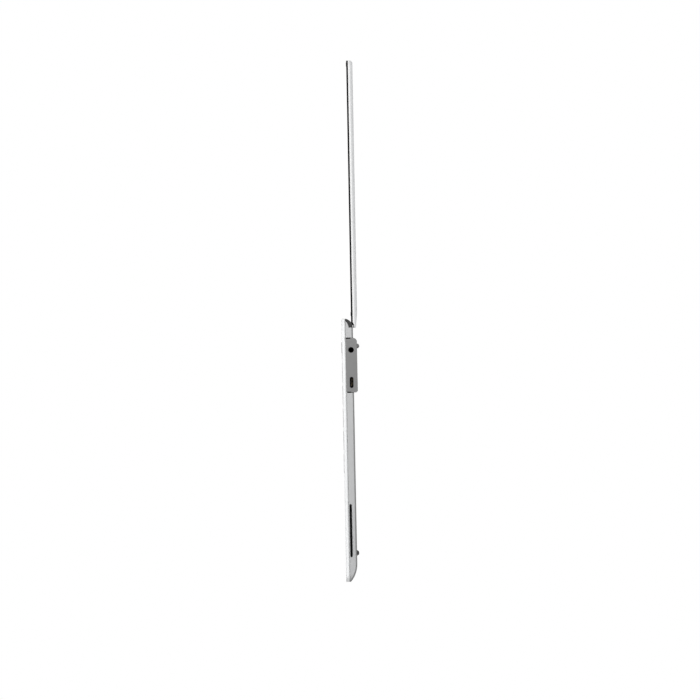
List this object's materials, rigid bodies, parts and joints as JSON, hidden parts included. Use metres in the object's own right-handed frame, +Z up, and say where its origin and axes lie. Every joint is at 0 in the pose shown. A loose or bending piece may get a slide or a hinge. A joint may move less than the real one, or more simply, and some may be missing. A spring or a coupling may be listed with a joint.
{
  "type": "laptop computer",
  "caption": "Slim laptop computer opened flat to a half turn, with a glass-fronted lid on drop hinges, island keyboard, touchpad and side port blocks on rubber feet.",
  "frame": {"origin": "on the floor below the lid's hinge axis, midway between the two sides", "axes": "+X to the user's right, +Y from the user's edge towards the opened lid, +Z up from the floor"},
  "size_m": [0.314, 0.4249, 0.0145],
  "materials": {
    "white_case": "satin",
    "silver_wall": "satin",
    "grey_cover": "satin",
    "grey_block": "satin",
    "dark_plastic": "matte",
    "black_plastic": "satin",
    "port_metal": "satin",
    "mesh": "satin",
    "keys": "satin",
    "button": "satin",
    "pad": "satin",
    "sheet_metal": "satin",
    "circuit_board": "satin",
    "chip": "satin",
    "copper": "satin",
    "fin": "satin",
    "cell": "satin",
    "hinge_steel": "satin",
    "rubber": "matte",
    "screw": "satin",
    "lid_white": "satin",
    "lid_back": "satin",
    "screen_glass": "gloss",
    "panel": "satin",
    "antenna": "satin"
  },
  "bodies": {
    "base": {"top_case": "white_case", "side_frame": "silver_wall", "rear_corners": "silver_wall", "bottom_cover": "grey_cover", "rear_spine": "dark_plastic", "port_block_right": "grey_block", "port_block_left": "grey_block", "audio_jack": "black_plastic", "usb_port_right": "port_metal", "usb_port_left": "port_metal", "card_reader": "port_metal", "speaker_right": "black_plastic", "speaker_left": "black_plastic", "speaker_meshes": "mesh", "keyboard_plate": "sheet_metal", "touchpad_frame": "sheet_metal", "motherboard": "circuit_board", "processor": "chip", "memory_chips": "chip", "ssd_module": "circuit_board", "wireless_card": "circuit_board", "heat_pipe": "copper", "heat_sink_fins": "fin", "fan_housing": "black_plastic", "battery_cells": "cell", "battery_frame": "dark_plastic", "hinge_bracket_right": "hinge_steel", "hinge_bracket_left": "hinge_steel", "front_feet": "rubber", "rear_feet": "rubber", "bottom_screws": "screw"},
    "lid": {"lid_back_cover": "lid_back", "lid_frame": "lid_white", "display_bezel": "black_plastic", "display_glass": "screen_glass", "display_panel": "panel", "webcam_module": "circuit_board", "webcam_lens": "screen_glass", "microphones": "chip", "antennas": "antenna", "lid_bumpers": "rubber", "hinge_arm_right": "hinge_steel", "hinge_arm_left": "hinge_steel", "hinge_shaft_right": "hinge_steel", "hinge_shaft_left": "hinge_steel", "hinge_cover_right": "dark_plastic", "hinge_cover_left": "dark_plastic"},
    "function_keys": {"function_keys": "keys"},
    "number_keys": {"number_keys": "keys"},
    "upper_keys": {"upper_keys": "keys"},
    "home_keys": {"home_keys": "keys"},
    "lower_keys": {"lower_keys": "keys"},
    "bottom_keys": {"bottom_keys": "keys"},
    "space_bar": {"space_bar": "keys"},
    "arrow_keys": {"arrow_keys": "keys"},
    "power_button": {"power_button": "button"},
    "touchpad": {"touchpad": "pad"},
    "fan_rotor": {"fan_rotor": "black_plastic"}
  },
  "joints": [
    {"name": "lid_hinge", "type": "hinge", "parent": "base", "child": "lid", "pos_m": [0, 0, 0.01083], "axis": [1, 0, 0], "range_deg": [0, 180]},
    {"name": "function_keys_press", "type": "slide", "parent": "base", "child": "function_keys", "axis": [0, 0.019, -0.9998], "range_m": [0, 0.0012], "stiffness_N_per_m": 500, "springref_m": -0.0006},
    {"name": "number_keys_press", "type": "slide", "parent": "base", "child": "number_keys", "axis": [0, 0.019, -0.9998], "range_m": [0, 0.0012], "stiffness_N_per_m": 500, "springref_m": -0.0006},
    {"name": "upper_keys_press", "type": "slide", "parent": "base", "child": "upper_keys", "axis": [0, 0.019, -0.9998], "range_m": [0, 0.0012], "stiffness_N_per_m": 500, "springref_m": -0.0006},
    {"name": "home_keys_press", "type": "slide", "parent": "base", "child": "home_keys", "axis": [0, 0.019, -0.9998], "range_m": [0, 0.0012], "stiffness_N_per_m": 500, "springref_m": -0.0006},
    {"name": "lower_keys_press", "type": "slide", "parent": "base", "child": "lower_keys", "axis": [0, 0.019, -0.9998], "range_m": [0, 0.0012], "stiffness_N_per_m": 500, "springref_m": -0.0006},
    {"name": "bottom_keys_press", "type": "slide", "parent": "base", "child": "bottom_keys", "axis": [0, 0.019, -0.9998], "range_m": [0, 0.0012], "stiffness_N_per_m": 500, "springref_m": -0.0006},
    {"name": "space_bar_press", "type": "slide", "parent": "base", "child": "space_bar", "axis": [0, 0.019, -0.9998], "range_m": [0, 0.0012], "stiffness_N_per_m": 500, "springref_m": -0.0006},
    {"name": "arrow_keys_press", "type": "slide", "parent": "base", "child": "arrow_keys", "axis": [0, 0.019, -0.9998], "range_m": [0, 0.0012], "stiffness_N_per_m": 500, "springref_m": -0.0006},
    {"name": "power_button_press", "type": "slide", "parent": "base", "child": "power_button", "axis": [0, 0.019, -0.9998], "range_m": [0, 0.0004], "stiffness_N_per_m": 2500, "springref_m": -0.0004},
    {"name": "touchpad_click", "type": "slide", "parent": "base", "child": "touchpad", "axis": [0, 0.019, -0.9998], "range_m": [0, 0.0004], "stiffness_N_per_m": 3000, "springref_m": -0.0005},
    {"name": "fan_spin", "type": "hinge", "parent": "base", "child": "fan_rotor", "pos_m": [-0.036, -0.04994, 0.00743], "axis": [0, -0.019, 0.9998], "continuous": true}
  ]
}
